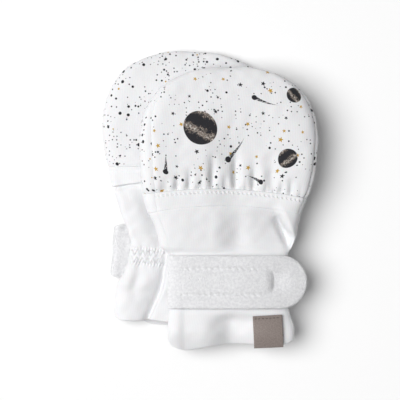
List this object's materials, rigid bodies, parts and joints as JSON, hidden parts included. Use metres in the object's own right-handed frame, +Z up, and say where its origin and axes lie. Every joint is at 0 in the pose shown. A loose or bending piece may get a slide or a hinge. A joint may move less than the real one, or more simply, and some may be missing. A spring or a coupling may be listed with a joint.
{
  "type": "pair of baby mittens",
  "caption": "Baby mittens laid flat, one across the other: printed round hand pockets, plain bands and cuffs, wide terry wrist straps, a bare ribbon label.",
  "frame": {"origin": "on the table below the middle of the pair's bounding box", "axes": "+Z up from the table, +Y towards the finger ends, +X to the right as seen from above with the fingers pointing away"},
  "size_m": [0.103, 0.1443, 0.0244],
  "materials": {
    "printed_jersey": "matte cotton jersey, white, with a small printed night-sky motif and specks",
    "plain_jersey": "matte cotton jersey, plain white",
    "looped_terry": "white looped terry",
    "label_ribbon": "taupe woven ribbon, bare"
  },
  "bodies": {
    "root": {"over_back_panel": "printed_jersey", "over_palm_panel": "printed_jersey", "over_back_band": "plain_jersey", "over_palm_band": "plain_jersey", "over_back_cuff": "plain_jersey", "over_palm_cuff": "plain_jersey", "over_strap": "looped_terry", "over_label": "label_ribbon", "under_palm_panel": "printed_jersey", "under_back_panel": "printed_jersey", "under_palm_band": "plain_jersey", "under_back_band": "plain_jersey", "under_palm_cuff": "plain_jersey", "under_back_cuff": "plain_jersey", "under_strap": "looped_terry"}
  },
  "joints": []
}
